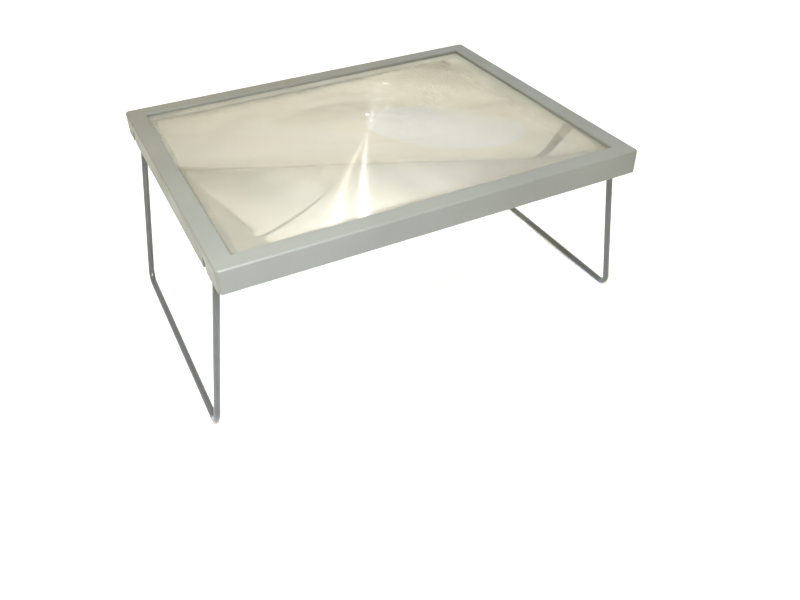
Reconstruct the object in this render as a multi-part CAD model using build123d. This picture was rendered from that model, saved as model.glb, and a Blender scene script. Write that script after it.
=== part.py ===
from build123d import *

# Full-page Fresnel magnifier: a moulded frame holds a grooved lens sheet level above the page
# and stands on two bent-wire legs that fold flat into the frame.
# Millimetres. +X runs along the frame, +Y to its back, +Z up.
# The origin is on the table, under the middle of the frame.

import os
from math import atan, cos, degrees, radians, sin

# Frame moulding
frame_length = 320.0
frame_width = 254.0
frame_top = 146.0
skirt_depth = 17.5
corner_radius = 3.5
rim_width = 14.0
rim_thickness = 2.6
skirt_wall_at_rim = 2.6
skirt_wall_at_edge = 2.2
rim_edge_radius = 1.5
opening_edge_radius = 0.7

# Lens sheet
lens_thickness = 2.0
lens_hold = 3.0  # how far the sheet reaches under the rim on every side
lens_corner_radius = 2.0
groove_margin = 0.8  # the grooves run this far under the rim
groove_land = 0.05  # the groove crests lie this far below the flat margin
facet_pitch = 23.2  # one facet here stands for about fifty of the sheet's fine grooves
facet_slope_per_radius = 0.0003  # a facet's slope grows with its distance from the axis
facet_riser = 0.3  # radial run of the steep side of a groove

# Bent-wire legs
wire_diameter = 4.8
wire_splay = 9.0  # degrees off the vertical when the legs stand open
foot_bend_radius = 10.0
tip_bend_radius = 7.0
tip_length = 25.0  # from the arm's centre line to the end of the pivot tip
pivot_x = 154.3
pivot_z = 134.2
front_arm_y = -104.0
back_arm_y = 96.5

# Hinge clips inside the short skirts
pivot_clearance = 0.05
clip_thickness = 3.0
clip_offsets = (11.5, 19.5)  # from the arm's centre line to each clip's near face
clip_finger = 1.5
clip_mouth = 4.0
clip_lead_in = 6.0  # width of the mouth at the clip's toe
clip_lead_in_height = 1.4
clip_below_pivot = 4.2
stop_rib_thickness = 1.6
stop_rib_gap = 0.3

# Slots in the lower edge of the short skirts
slot_offset = 7.0  # from the arm's centre line to the slot's middle
slot_width = 7.0
slot_height = 9.0
slot_corner_radius = 2.0

# Retainer under the lens
retainer_gap = 0.4
retainer_flange = 2.2
retainer_drop = 5.4  # from the lens to the underside of the flange
pocket_before_arm = 5.0
pocket_after_arm = 26.0
arm_notch_width = 6.8
arm_notch_top = 137.4

# Snap ledges inside the skirt, under the retainer's flange
ledge_length = 12.0
ledge_bite = 1.4
ledge_height = 3.2
long_side_ledges = (-105.0, -35.0, 35.0, 105.0)
short_side_ledges = (-50.0, 0.0, 50.0)

# Sizes that follow from those above
wire_radius = wire_diameter / 2
skirt_bottom = frame_top - skirt_depth
rim_underside = frame_top - rim_thickness
lens_underside = rim_underside - lens_thickness
retainer_bottom = lens_underside - retainer_drop
flange_top = retainer_bottom + retainer_flange
opening_length = frame_length - 2 * rim_width
opening_width = frame_width - 2 * rim_width
cavity_length = frame_length - 2 * skirt_wall_at_rim
cavity_width = frame_width - 2 * skirt_wall_at_rim
lens_length = opening_length + 2 * lens_hold
lens_width = opening_width + 2 * lens_hold
arm_length = (pivot_z - wire_radius) / cos(radians(wire_splay))
arm_positions = (front_arm_y, back_arm_y)
clip_inner_x = pivot_x - wire_radius - pivot_clearance - clip_finger


def block(x_range, y_range, z_range):
    """A box between two corners."""
    size = [high - low for low, high in (x_range, y_range, z_range)]
    middle = [(high + low) / 2 for low, high in (x_range, y_range, z_range)]
    return Pos(*middle) * Box(*size)


def prism(length, width, radius, bottom, height, taper=0.0):
    """A rounded rectangle, centred on the Z axis and raised from bottom by height."""
    outline = Pos(0, 0, bottom) * RectangleRounded(length, width, radius)
    return extrude(outline, height, taper=taper)


def lens_opening():
    """The sharp-cornered window through the rim and the retainer."""
    return block(
        (-opening_length / 2, opening_length / 2),
        (-opening_width / 2, opening_width / 2),
        (skirt_bottom, frame_top + 1),
    )


def frame_shell():
    """The rim and its skirt: a shallow tray, open below, with the lens opening in its top."""
    shell = prism(frame_length, frame_width, corner_radius, skirt_bottom, skirt_depth)
    shell = fillet(shell.faces().sort_by(Axis.Z)[-1].edges(), rim_edge_radius)
    wall_change = skirt_wall_at_rim - skirt_wall_at_edge
    cavity_height = rim_underside - skirt_bottom
    mouth_growth = 2 * wall_change
    mould_draft = degrees(atan(wall_change / cavity_height))
    shell -= prism(
        cavity_length + mouth_growth,
        cavity_width + mouth_growth,
        corner_radius - skirt_wall_at_edge + wall_change,
        skirt_bottom,
        cavity_height,
        taper=mould_draft,
    )
    shell -= lens_opening()
    opening_edges = shell.faces().sort_by(Axis.Z)[-1].inner_wires()[0].edges()
    return fillet(opening_edges, opening_edge_radius)


def snap_ledge(half_cavity, along):
    """A wedge inside the skirt that the retainer's flange snaps past and then rests on.

    It is made on the skirt wall at +Y, half_cavity from the middle, and centred at along.
    """
    profile = Polyline(
        (half_cavity - ledge_bite, retainer_bottom),
        (half_cavity + skirt_wall_at_edge / 2, retainer_bottom),
        (half_cavity + skirt_wall_at_edge / 2, retainer_bottom - ledge_height),
        (half_cavity, retainer_bottom - ledge_height),
        close=True,
    )
    wedge = extrude(Plane.YZ * make_face(profile), ledge_length)
    return Pos(along - ledge_length / 2, 0, 0) * wedge


def snap_ledges():
    """The ledges on all four skirts."""
    draft_at_flange = (rim_underside - retainer_bottom) / (rim_underside - skirt_bottom)
    growth = draft_at_flange * (skirt_wall_at_rim - skirt_wall_at_edge)
    ledges = []
    for x in long_side_ledges:
        back = snap_ledge(cavity_width / 2 + growth, x)
        ledges += [back, Rot(0, 0, 180) * back]
    for y in short_side_ledges:
        left = Rot(0, 0, 90) * snap_ledge(cavity_length / 2 + growth, y)
        ledges += [left, Rot(0, 0, 180) * left]
    return ledges


def hinge_clip(near_face):
    """A rib on the right skirt with a C-shaped seat, open below, for the wire's pivot tip."""
    toe_z = pivot_z - clip_below_pivot
    through = clip_thickness + 2
    rib = block(
        (clip_inner_x, frame_length / 2 - skirt_wall_at_edge / 2),
        (near_face, near_face + clip_thickness),
        (toe_z, rim_underside),
    )
    mouth = Polyline(
        (pivot_x - clip_mouth / 2, pivot_z),
        (pivot_x - clip_mouth / 2, toe_z + clip_lead_in_height),
        (pivot_x - clip_lead_in / 2, toe_z),
        (pivot_x + clip_lead_in / 2, toe_z),
        (pivot_x + clip_mouth / 2, toe_z + clip_lead_in_height),
        (pivot_x + clip_mouth / 2, pivot_z),
        close=True,
    )
    seat = Pos(pivot_x, pivot_z) * Circle(wire_radius + pivot_clearance)
    cut = extrude(Plane.XZ * (seat + make_face(mouth)), through / 2, both=True)
    return rib - Pos(0, near_face + clip_thickness / 2, 0) * cut


def stop_rib(arm_y):
    """A rib on the right skirt that keeps the wire from sliding out of its clips."""
    back_face = arm_y - wire_radius - stop_rib_gap
    return block(
        (clip_inner_x, frame_length / 2 - skirt_wall_at_edge / 2),
        (back_face - stop_rib_thickness, back_face),
        (pivot_z - clip_below_pivot, rim_underside),
    )


def skirt_slot(arm_y):
    """The round-cornered slot in the right skirt's lower edge, beside a leg arm."""
    middle = arm_y + slot_offset
    slot = block(
        (frame_length / 2 - 2 * skirt_wall_at_rim, frame_length / 2 + 1),
        (middle - slot_width / 2, middle + slot_width / 2),
        (skirt_bottom - slot_corner_radius, skirt_bottom + slot_height),
    )
    return fillet(slot.edges().filter_by(Axis.X).sort_by(Axis.Z)[-2:], slot_corner_radius)


def make_lens_frame():
    """The whole moulding: shell, snap ledges, hinge clips, stop ribs and slots."""
    frame = frame_shell() + snap_ledges()
    for arm_y in arm_positions:
        ribs = [hinge_clip(arm_y + offset) for offset in clip_offsets] + [stop_rib(arm_y)]
        for rib in ribs:
            frame += [rib, mirror(rib, Plane.YZ)]
        slot = skirt_slot(arm_y)
        frame -= [slot, mirror(slot, Plane.YZ)]
    return frame


def groove_profile(reach):
    """The sawtooth above the grooves: each facet falls away from the axis, then steps up."""
    crest = -groove_land
    points = [(0, 1), (0, crest)]
    inner = 0.0
    while inner < reach:
        outer = inner + facet_pitch
        drop = facet_slope_per_radius * (inner + outer) / 2 * facet_pitch
        points += [(outer - facet_riser, crest - drop), (outer, crest)]
        inner = outer
    return points + [(inner, 1)]


def make_fresnel_lens():
    """A clear sheet with a flat margin and concentric grooves on its upper face."""
    sheet = prism(lens_length, lens_width, lens_corner_radius, lens_underside, lens_thickness)
    half_length = opening_length / 2 + groove_margin
    half_width = opening_width / 2 + groove_margin
    corner_distance = (half_length**2 + half_width**2) ** 0.5
    profile = Plane.XZ * make_face(Polyline(*groove_profile(corner_distance), close=True))
    cutter = Pos(0, 0, rim_underside) * revolve(profile, Axis.Z)
    window = block((-half_length, half_length), (-half_width, half_width), (lens_underside, frame_top))
    return sheet - (cutter & window)


def make_lens_retainer():
    """The lower frame: a wall that presses the lens up and a flange that rests on the ledges."""
    flange = prism(
        cavity_length - 2 * retainer_gap,
        cavity_width - 2 * retainer_gap,
        1.5,
        retainer_bottom,
        retainer_flange,
    )
    wall = prism(lens_length, lens_width, lens_corner_radius, retainer_bottom, retainer_drop)
    ring = flange + wall - lens_opening()
    for arm_y in arm_positions:
        pocket = block(
            (lens_length / 2, frame_length / 2),
            (arm_y - pocket_before_arm, arm_y + pocket_after_arm),
            (retainer_bottom - 1, flange_top + 1),
        )
        notch = block(
            (opening_length / 2 - 1, lens_length / 2 + 1),
            (arm_y - arm_notch_width / 2, arm_y + arm_notch_width / 2),
            (retainer_bottom - 1, arm_notch_top),
        )
        ring -= [pocket, mirror(pocket, Plane.YZ), notch, mirror(notch, Plane.YZ)]
    return ring


def make_leg(side):
    """A wire U on the left (-1) or right (+1) side, both pivot tips turned to the back."""

    def on_leg(y, along_arm):
        reach = pivot_x + along_arm * sin(radians(wire_splay))
        return (side * reach, y, pivot_z - along_arm * cos(radians(wire_splay)))

    corners = [
        on_leg(front_arm_y + tip_length, 0),
        on_leg(front_arm_y, 0),
        on_leg(front_arm_y, arm_length),
        on_leg(back_arm_y, arm_length),
        on_leg(back_arm_y, 0),
        on_leg(back_arm_y + tip_length, 0),
    ]
    radii = [tip_bend_radius, foot_bend_radius, foot_bend_radius, tip_bend_radius]
    centre_line = FilletPolyline(*corners, radius=radii)
    section = Plane(origin=centre_line @ 0, z_dir=centre_line % 0) * Circle(wire_radius)
    return sweep(section, path=centre_line)


def main():
    nodes = {
        "lens_frame": make_lens_frame(),
        "fresnel_lens": make_fresnel_lens(),
        "lens_retainer": make_lens_retainer(),
        "left_leg": make_leg(-1),
        "right_leg": make_leg(1),
    }
    os.makedirs("parts", exist_ok=True)
    for name, shape in nodes.items():
        export_step(shape, f"parts/{name}.step")


main()
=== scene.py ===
# Looks of a full-page Fresnel magnifier: satin grey moulding, painted wire legs and a clear sheet
# with fine concentric grooves. Metres, in the part's own frame: +X along the frame, +Z up.

import math

import bmesh
import bpy
from mathutils import Matrix, Vector


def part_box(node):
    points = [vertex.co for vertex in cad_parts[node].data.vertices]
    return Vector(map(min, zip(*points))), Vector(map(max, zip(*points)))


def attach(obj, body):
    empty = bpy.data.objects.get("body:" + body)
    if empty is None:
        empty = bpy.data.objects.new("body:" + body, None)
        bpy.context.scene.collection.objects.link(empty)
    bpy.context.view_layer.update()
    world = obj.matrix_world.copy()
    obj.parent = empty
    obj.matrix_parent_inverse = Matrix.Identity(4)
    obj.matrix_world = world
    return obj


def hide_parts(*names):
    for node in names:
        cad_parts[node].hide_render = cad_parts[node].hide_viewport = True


# Camera
CAMERA_PLACE = (-0.2269, -0.4976, 0.4075)
CAMERA_AZIMUTH = 26.9  # degrees to the right of +Y
CAMERA_ELEVATION = 38.2  # degrees down from the horizon
CAMERA_ROLL = -0.86
CAMERA_LENS = 34.3  # mm
CAMERA_SENSOR = 36.0  # mm wide

# Lens sheet
GROOVE_PITCH = 0.0007
GROOVE_LAND = 0.00005  # crests lie this far below the flat margin of the sheet
RISER_RUN = 0.00004
SURFACE_RADIUS = 0.28  # radius of the dome whose slopes the facets have
RING_SEGMENTS = 144
SHARP_ANGLE = 12.0  # degrees; edges between facet and riser stay sharp

# Places of the sheet's materials in its material list
UNDERSIDE = 0
FACET = 1
RISER = 2
EDGE = 3

# Share of scattering on the sheet's rough surfaces
EDGE_FROST = 0.9
RISER_FROST = 0.08
# Frost on the risers beside the sheet's edges, painted light over the dark border that lies in
# shade under the rails
PAINTED_LIGHT_FROST = 0.85  # on the risers beside the sheet's edges

# Distances from an edge of the sheet at which its risers have the margin's frost and the usual
# one; the margins are wider at the right and back edges, where the shaded border under the rails
# shows most from the camera
LEFT_MARGIN = (0.004, 0.009)
RIGHT_MARGIN = (0.008, 0.030)
FRONT_MARGIN = (0.004, 0.007)
BACK_MARGIN = (0.008, 0.016)

# Colours, each pair a darker and a lighter tone
FRAME_TONES = (0.13, 0.129, 0.1045), (0.146, 0.145, 0.1195)
RETAINER_TONES = (0.30, 0.30, 0.28), (0.34, 0.34, 0.32)
ENAMEL_TONES = (0.046, 0.0475, 0.041), (0.062, 0.064, 0.056)
FROST_TONES = (0.44, 0.42, 0.35), (0.52, 0.50, 0.42)
FLOOR_TONES = (0.95, 0.955, 0.975), (0.965, 0.97, 0.99)
# A warm grey tint, darker than clear acrylic: painted shade standing in for the dimmer, warm-lit
# cream floor seen through the sheet
PAINTED_FLOOR_LIGHT_TINT = (0.449, 0.430, 0.374)
SHEEN_COLOUR = (0.04, 0.04, 0.04)
LAMP_FILTER = (0.86, 0.84, 0.78)  # what the sheet leaves of the lamps' light

# Most values of a noise texture lie between these two
NOISE_LOW = 0.3
NOISE_HIGH = 0.7

# Studio
FLOOR_SIZE = 60.0
HORIZON_LIGHT = (0.50, 0.465, 0.365)
ZENITH_LIGHT = (1.79, 1.73, 1.47)
BACKDROP = (1.0, 1.0, 1.0)  # what is seen directly beyond the floor
LENS_MIDDLE = (0, 0, 0.14)


def opaque(colour):
    """A colour with full alpha."""
    return (*colour, 1.0)


def node_material(name):
    """A new material with its node tree emptied, and its output node."""
    material = bpy.data.materials.new(name)
    material.use_nodes = True
    nodes = material.node_tree.nodes
    nodes.clear()
    return material, nodes, material.node_tree.links, nodes.new("ShaderNodeOutputMaterial")


def noise(nodes, links, scale, detail):
    """A noise texture in object space, scale in cycles per metre."""
    place = nodes.new("ShaderNodeTexCoord")
    texture = nodes.new("ShaderNodeTexNoise")
    texture.inputs["Scale"].default_value = scale
    texture.inputs["Detail"].default_value = detail
    links.new(place.outputs["Object"], texture.inputs["Vector"])
    return texture.outputs["Fac"]


def remap(nodes, links, value, low, high):
    """A noise value taken to the range from low to high."""
    scale = nodes.new("ShaderNodeMapRange")
    scale.inputs["From Min"].default_value = NOISE_LOW
    scale.inputs["From Max"].default_value = NOISE_HIGH
    scale.inputs["To Min"].default_value = low
    scale.inputs["To Max"].default_value = high
    links.new(value, scale.inputs["Value"])
    return scale.outputs["Result"]


def blend_tones(nodes, links, value, tones):
    """A colour between the two tones by a noise value."""
    dark, light = tones
    mix = nodes.new("ShaderNodeMix")
    mix.data_type = "RGBA"
    mix.inputs["A"].default_value = opaque(dark)
    mix.inputs["B"].default_value = opaque(light)
    links.new(remap(nodes, links, value, low=0.0, high=1.0), mix.inputs["Factor"])
    return mix.outputs["Result"]


def bump(nodes, links, height, distance, strength):
    """A bumped normal from a height between 0 and 1, distance in metres."""
    node = nodes.new("ShaderNodeBump")
    node.inputs["Distance"].default_value = distance
    node.inputs["Strength"].default_value = strength
    links.new(height, node.inputs["Height"])
    return node.outputs["Normal"]


def moulded_plastic(name, tones):
    """Satin moulding: a faint cloudy tone, a fine spark-eroded grain and uneven gloss."""
    material, nodes, links, output = node_material(name)
    shader = nodes.new("ShaderNodeBsdfPrincipled")
    shader.inputs["IOR"].default_value = 1.5
    cloud = noise(nodes, links, scale=14.0, detail=4.0)
    links.new(blend_tones(nodes, links, cloud, tones), shader.inputs["Base Color"])
    smear = noise(nodes, links, scale=45.0, detail=5.0)
    links.new(remap(nodes, links, smear, low=0.40, high=0.52), shader.inputs["Roughness"])
    grain = noise(nodes, links, scale=2600.0, detail=2.0)
    normal = bump(nodes, links, grain, distance=0.00004, strength=0.5)
    links.new(normal, shader.inputs["Normal"])
    links.new(shader.outputs["BSDF"], output.inputs["Surface"])
    return material


def painted_wire(name):
    """Grey enamel on steel wire: soft orange peel, uneven gloss and a slightly uneven tone."""
    material, nodes, links, output = node_material(name)
    shader = nodes.new("ShaderNodeBsdfPrincipled")
    shader.inputs["Coat Weight"].default_value = 0.3
    shader.inputs["Coat Roughness"].default_value = 0.2
    tone = noise(nodes, links, scale=60.0, detail=4.0)
    links.new(blend_tones(nodes, links, tone, ENAMEL_TONES), shader.inputs["Base Color"])
    links.new(remap(nodes, links, tone, low=0.34, high=0.46), shader.inputs["Roughness"])
    peel = noise(nodes, links, scale=700.0, detail=2.0)
    normal = bump(nodes, links, peel, distance=0.00006, strength=0.4)
    links.new(normal, shader.inputs["Normal"])
    links.new(shader.outputs["BSDF"], output.inputs["Surface"])
    return material


def acrylic(nodes, links):
    """Clear acrylic with a trace of haze, tinted warm grey as painted shade for the dimmer,
    warm-lit cream floor seen through it.
    """
    glass = nodes.new("ShaderNodeBsdfPrincipled")
    glass.inputs["Base Color"].default_value = opaque(PAINTED_FLOOR_LIGHT_TINT)
    glass.inputs["Transmission Weight"].default_value = 0.9
    glass.inputs["IOR"].default_value = 1.49
    haze = noise(nodes, links, scale=30.0, detail=4.0)
    links.new(remap(nodes, links, haze, low=0.0, high=0.01), glass.inputs["Roughness"])
    return glass.outputs["BSDF"]


def add_tip_sheen(nodes, links, surface):
    """Adds the streaky sheen of fine rings, which runs towards and away from their middle."""
    tips = nodes.new("ShaderNodeBsdfAnisotropic")
    tips.inputs["Color"].default_value = opaque(SHEEN_COLOUR)
    tips.inputs["Roughness"].default_value = 0.36
    tips.inputs["Anisotropy"].default_value = 0.8
    tangent = nodes.new("ShaderNodeTangent")
    tangent.direction_type = "RADIAL"
    tangent.axis = "Z"
    links.new(tangent.outputs["Tangent"], tips.inputs["Tangent"])
    both = nodes.new("ShaderNodeAddShader")
    links.new(surface, both.inputs[0])
    links.new(tips.outputs["BSDF"], both.inputs[1])
    return both.outputs["Shader"]


def frosted(nodes, links):
    """Rough scattering, half of it back and half of it through."""
    tone = noise(nodes, links, scale=30.0, detail=4.0)
    colour = blend_tones(nodes, links, tone, FROST_TONES)
    front = nodes.new("ShaderNodeBsdfDiffuse")
    through = nodes.new("ShaderNodeBsdfTranslucent")
    links.new(colour, front.inputs["Color"])
    links.new(colour, through.inputs["Color"])
    frost = nodes.new("ShaderNodeMixShader")
    frost.inputs["Fac"].default_value = 0.5
    links.new(front.outputs["BSDF"], frost.inputs[1])
    links.new(through.outputs["BSDF"], frost.inputs[2])
    return frost.outputs["Shader"]


def add_frost(nodes, links, surface):
    """Mixes surface with rough scattering, and also gives the socket for the frost's share."""
    both = nodes.new("ShaderNodeMixShader")
    links.new(surface, both.inputs[1])
    links.new(frosted(nodes, links), both.inputs[2])
    return both.outputs["Shader"], both.inputs["Fac"]


def frost_and_painted_light_by_edge(nodes, links, value, edge, margin):
    """The share of frost by the distance from the sheet's edge, at edge on the axis of value; near
    the edge it rises to the margin's frost, painted light over the shaded border.
    """
    full, usual = margin
    outward = math.copysign(1.0, edge)
    rise = nodes.new("ShaderNodeMapRange")
    rise.interpolation_type = "SMOOTHSTEP"
    rise.inputs["From Min"].default_value = edge - outward * usual
    rise.inputs["From Max"].default_value = edge - outward * full
    rise.inputs["To Min"].default_value = RISER_FROST
    rise.inputs["To Max"].default_value = PAINTED_LIGHT_FROST
    links.new(value, rise.inputs["Value"])
    return rise.outputs["Result"]


def riser_frost_and_painted_light(nodes, links, low, high):
    """The share of frost on the risers, which rises towards the sheet's four edges as painted
    light over the shaded border there.
    """
    place = nodes.new("ShaderNodeTexCoord")
    split = nodes.new("ShaderNodeSeparateXYZ")
    links.new(place.outputs["Object"], split.inputs["Vector"])
    x, y = split.outputs["X"], split.outputs["Y"]
    share = frost_and_painted_light_by_edge(nodes, links, x, low.x, LEFT_MARGIN)
    others = ((x, high.x, RIGHT_MARGIN), (y, low.y, FRONT_MARGIN), (y, high.y, BACK_MARGIN))
    for value, edge, margin in others:
        larger = nodes.new("ShaderNodeMath")
        larger.operation = "MAXIMUM"
        links.new(share, larger.inputs[0])
        links.new(frost_and_painted_light_by_edge(nodes, links, value, edge, margin), larger.inputs[1])
        share = larger.outputs["Value"]
    return share


def pass_lamps(nodes, links, surface, output):
    """Shows surface, and lets the light of the lamps pass on to what lies below."""
    clear = nodes.new("ShaderNodeBsdfTransparent")
    clear.inputs["Color"].default_value = opaque(LAMP_FILTER)
    path = nodes.new("ShaderNodeLightPath")
    choose = nodes.new("ShaderNodeMixShader")
    links.new(path.outputs["Is Shadow Ray"], choose.inputs["Fac"])
    links.new(surface, choose.inputs[1])
    links.new(clear.outputs["BSDF"], choose.inputs[2])
    links.new(choose.outputs["Shader"], output.inputs["Surface"])


def clear_acrylic():
    """The smooth underside of the sheet."""
    material, nodes, links, output = node_material("clear_acrylic")
    pass_lamps(nodes, links, acrylic(nodes, links), output)
    return material


def facet_acrylic():
    """The sloping faces of the grooves, with the sheen of their tips."""
    material, nodes, links, output = node_material("facet_acrylic")
    surface = add_tip_sheen(nodes, links, acrylic(nodes, links))
    pass_lamps(nodes, links, surface, output)
    return material


def riser_acrylic(low, high):
    """The steep faces of the grooves, partly frosted, and frosted more near the sheet's edges as
    painted light over the shaded border.
    """
    material, nodes, links, output = node_material("riser_acrylic")
    surface, share = add_frost(nodes, links, acrylic(nodes, links))
    links.new(riser_frost_and_painted_light(nodes, links, low, high), share)
    pass_lamps(nodes, links, surface, output)
    return material


def edge_acrylic():
    """The sawn edges of the sheet."""
    material, nodes, links, output = node_material("edge_acrylic")
    surface, share = add_frost(nodes, links, acrylic(nodes, links))
    share.default_value = EDGE_FROST
    pass_lamps(nodes, links, surface, output)
    return material


def paper_floor():
    """The material of the pale floor."""
    material, nodes, links, output = node_material("pale_floor")
    shader = nodes.new("ShaderNodeBsdfPrincipled")
    shader.inputs["Specular IOR Level"].default_value = 0.0
    shader.inputs["Roughness"].default_value = 0.9
    tone = noise(nodes, links, scale=1.5, detail=3.0)
    links.new(blend_tones(nodes, links, tone, FLOOR_TONES), shader.inputs["Base Color"])
    links.new(shader.outputs["BSDF"], output.inputs["Surface"])
    return material


def ring(mesh, radius, height):
    """RING_SEGMENTS vertices of a circle about the optical axis."""
    turn = 2 * math.pi / RING_SEGMENTS
    return [
        mesh.verts.new((radius * math.cos(i * turn), radius * math.sin(i * turn), height))
        for i in range(RING_SEGMENTS)
    ]


def join_rings(mesh, inner, outer, index):
    """A band of faces between two circles, with the material of that index."""
    for i in range(RING_SEGMENTS):
        after = (i + 1) % RING_SEGMENTS
        face = mesh.faces.new((inner[i], outer[i], outer[after], inner[after]))
        face.material_index = index


def fill_ring(mesh, centre, outer, index):
    """A fan of faces from a centre to a circle, with the material of that index."""
    for i in range(RING_SEGMENTS):
        face = mesh.faces.new((centre, outer[i], outer[(i + 1) % RING_SEGMENTS]))
        face.material_index = index


def grooved_disc(mesh, reach, crest):
    """Concentric facets as steep as the dome they stand for, each followed by a riser."""
    centre = mesh.verts.new((0, 0, crest))
    start = None
    radius = 0.0
    while radius < reach:
        middle = radius + GROOVE_PITCH / 2
        slope = middle / math.sqrt(SURFACE_RADIUS**2 - middle**2)
        drop = slope * (GROOVE_PITCH - RISER_RUN)
        valley = ring(mesh, radius + GROOVE_PITCH - RISER_RUN, crest - drop)
        tip = ring(mesh, radius + GROOVE_PITCH, crest)
        if start is None:
            fill_ring(mesh, centre, valley, FACET)
        else:
            join_rings(mesh, start, valley, FACET)
        join_rings(mesh, valley, tip, RISER)
        start = tip
        radius += GROOVE_PITCH


def trim(mesh, low, high):
    """Cuts away what lies outside the sheet's four edges."""
    for axis, place, outward in ((0, low.x, -1), (0, high.x, 1), (1, low.y, -1), (1, high.y, 1)):
        point = Vector((0, 0, 0))
        point[axis] = place
        normal = Vector((0, 0, 0))
        normal[axis] = outward
        everything = mesh.verts[:] + mesh.edges[:] + mesh.faces[:]
        bmesh.ops.bisect_plane(
            mesh, geom=everything, plane_co=point, plane_no=normal, clear_outer=True
        )


def close_sheet(mesh, bottom):
    """Walls down from the trimmed border and a flat underside."""
    border = [edge for edge in mesh.edges if edge.is_boundary]
    for item in bmesh.ops.extrude_edge_only(mesh, edges=border)["geom"]:
        if isinstance(item, bmesh.types.BMFace):
            item.material_index = EDGE
        elif isinstance(item, bmesh.types.BMVert):
            item.co.z = bottom
    rim = [edge for edge in mesh.edges if edge.is_boundary]
    for face in bmesh.ops.contextual_create(mesh, geom=rim)["faces"]:
        face.material_index = UNDERSIDE


def shade_sheet(mesh):
    """Smooth along the rings, with sharp tips and valleys."""
    bmesh.ops.recalc_face_normals(mesh, faces=mesh.faces)
    for face in mesh.faces:
        face.smooth = True
    for edge in mesh.edges:
        edge.smooth = edge.calc_face_angle(math.pi) < math.radians(SHARP_ANGLE)


def make_lens():
    """The clear sheet, with real grooves on its upper face, in place of the plain CAD sheet."""
    low, high = (Vector(corner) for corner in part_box("fresnel_lens"))
    mesh = bmesh.new()
    grooved_disc(mesh, Vector((high.x, high.y)).length, high.z - GROOVE_LAND)
    trim(mesh, low, high)
    close_sheet(mesh, low.z)
    shade_sheet(mesh)
    data = bpy.data.meshes.new("lens_sheet")
    mesh.to_mesh(data)
    mesh.free()
    lens = bpy.data.objects.new("lens_sheet", data)
    bpy.context.collection.objects.link(lens)
    # in the order of UNDERSIDE, FACET, RISER and EDGE
    for material in (clear_acrylic(), facet_acrylic(), riser_acrylic(low, high), edge_acrylic()):
        data.materials.append(material)
    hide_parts("fresnel_lens")
    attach(lens, "frame")


def dress(node, material):
    """Puts a material on every slot of a CAD node."""
    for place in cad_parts[node].material_slots:
        place.material = material


def make_floor():
    """The plain pale floor under the object."""
    half = FLOOR_SIZE / 2
    corners = [(-half, -half, 0), (half, -half, 0), (half, half, 0), (-half, half, 0)]
    data = bpy.data.meshes.new("floor")
    data.from_pydata(corners, [], [(0, 1, 2, 3)])
    floor = bpy.data.objects.new("floor", data)
    bpy.context.collection.objects.link(floor)
    data.materials.append(paper_floor())


def make_world():
    """Warm white studio light, dimmer towards the horizon, around a plain white backdrop."""
    world = bpy.data.worlds.new("studio")
    bpy.context.scene.world = world
    world.use_nodes = True
    nodes = world.node_tree.nodes
    links = world.node_tree.links
    place = nodes.new("ShaderNodeTexCoord")
    split = nodes.new("ShaderNodeSeparateXYZ")
    links.new(place.outputs["Generated"], split.inputs["Vector"])
    mix = nodes.new("ShaderNodeMix")
    mix.data_type = "RGBA"
    mix.inputs["A"].default_value = opaque(HORIZON_LIGHT)
    mix.inputs["B"].default_value = opaque(ZENITH_LIGHT)
    links.new(split.outputs["Z"], mix.inputs["Factor"])
    seen = nodes.new("ShaderNodeMix")
    seen.data_type = "RGBA"
    seen.inputs["B"].default_value = opaque(BACKDROP)
    path = nodes.new("ShaderNodeLightPath")
    links.new(path.outputs["Is Camera Ray"], seen.inputs["Factor"])
    links.new(mix.outputs["Result"], seen.inputs["A"])
    links.new(seen.outputs["Result"], nodes["Background"].inputs["Color"])


def area_light(name, place, target, size, power, colour):
    """A soft round light at place that faces target."""
    data = bpy.data.lights.new(name, "AREA")
    data.shape = "DISK"
    data.size = size
    data.energy = power
    data.color = colour
    light = bpy.data.objects.new(name, data)
    light.location = place
    aim = Vector(target) - Vector(place)
    light.rotation_euler = aim.to_track_quat("-Z", "Y").to_euler()
    light.visible_camera = False
    bpy.context.collection.objects.link(light)
    return light


def soft_light(name, place, target, size, power, colour):
    """A light that only brightens rough surfaces, and isn't mirrored or seen through the lens."""
    light = area_light(name, place, target, size, power, colour)
    light.visible_glossy = False
    light.visible_transmission = False


def glint_light(name, place, size, power, colour):
    """A light that only glints, for the streaks along the grooves and the patch of a window."""
    light = area_light(name, place, LENS_MIDDLE, size, power, colour)
    light.visible_diffuse = False


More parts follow.
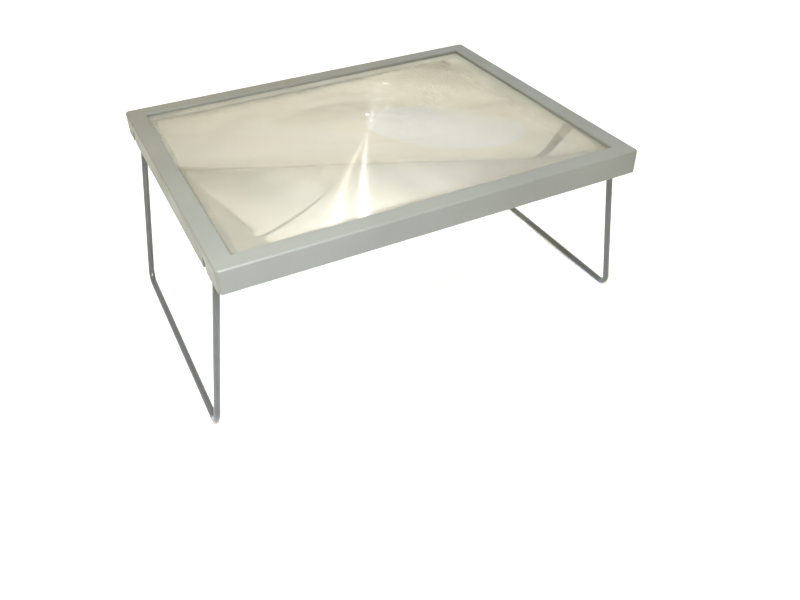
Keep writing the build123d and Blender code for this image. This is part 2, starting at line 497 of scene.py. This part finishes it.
def make_lights():
    """A soft key over the front left, a warm fill from the left and three that only glint."""
    soft_light(
        "key", place=(-0.17, -0.3, 0.45), target=(-0.1, -0.1, 0.1),
        size=0.14, power=4.3, colour=(0.71, 0.82, 1.02),
    )
    soft_light(
        "left_fill", place=(-0.75, -0.2, 0.25), target=(-0.16, -0.05, 0.13),
        size=0.3, power=0.65, colour=(1.0, 0.55, 0.05),
    )
    glint_light(
        "flash", place=(-0.228, -0.503, 0.45), size=0.03, power=8.0, colour=(0.9, 0.95, 1.0)
    )
    glint_light(
        "ceiling_lamp", place=(-0.45, -0.42, 0.85), size=0.08, power=7.5, colour=(1.0, 0.9, 0.7)
    )
    glint_light(
        "window", place=(1.15, 1.28, 0.67), size=1.1, power=2.4, colour=(0.12, 0.35, 1.0)
    )


def make_camera():
    """The camera in front of the left end, looking down over the frame."""
    data = bpy.data.cameras.new("camera")
    data.lens = CAMERA_LENS
    data.sensor_width = CAMERA_SENSOR
    camera = bpy.data.objects.new("camera", data)
    swing = Matrix.Rotation(math.radians(-CAMERA_AZIMUTH), 4, "Z")
    tilt = Matrix.Rotation(math.radians(90 - CAMERA_ELEVATION), 4, "X")
    roll = Matrix.Rotation(math.radians(CAMERA_ROLL), 4, "Z")
    camera.matrix_world = Matrix.Translation(CAMERA_PLACE) @ swing @ tilt @ roll
    bpy.context.collection.objects.link(camera)
    bpy.context.scene.camera = camera


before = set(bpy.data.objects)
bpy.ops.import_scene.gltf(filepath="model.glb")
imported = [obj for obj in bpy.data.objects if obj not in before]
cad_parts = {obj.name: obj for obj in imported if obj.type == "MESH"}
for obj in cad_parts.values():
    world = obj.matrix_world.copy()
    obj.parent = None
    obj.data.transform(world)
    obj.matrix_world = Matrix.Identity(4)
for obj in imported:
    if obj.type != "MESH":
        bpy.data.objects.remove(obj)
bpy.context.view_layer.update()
bpy.context.scene.view_settings.view_transform = "Standard"
make_camera()
make_world()
make_lights()
make_floor()
make_lens()
dress("lens_frame", moulded_plastic("grey_moulding", FRAME_TONES))
dress("lens_retainer", moulded_plastic("retainer_moulding", RETAINER_TONES))
for leg in ("left_leg", "right_leg"):
    dress(leg, painted_wire(leg + "_enamel"))
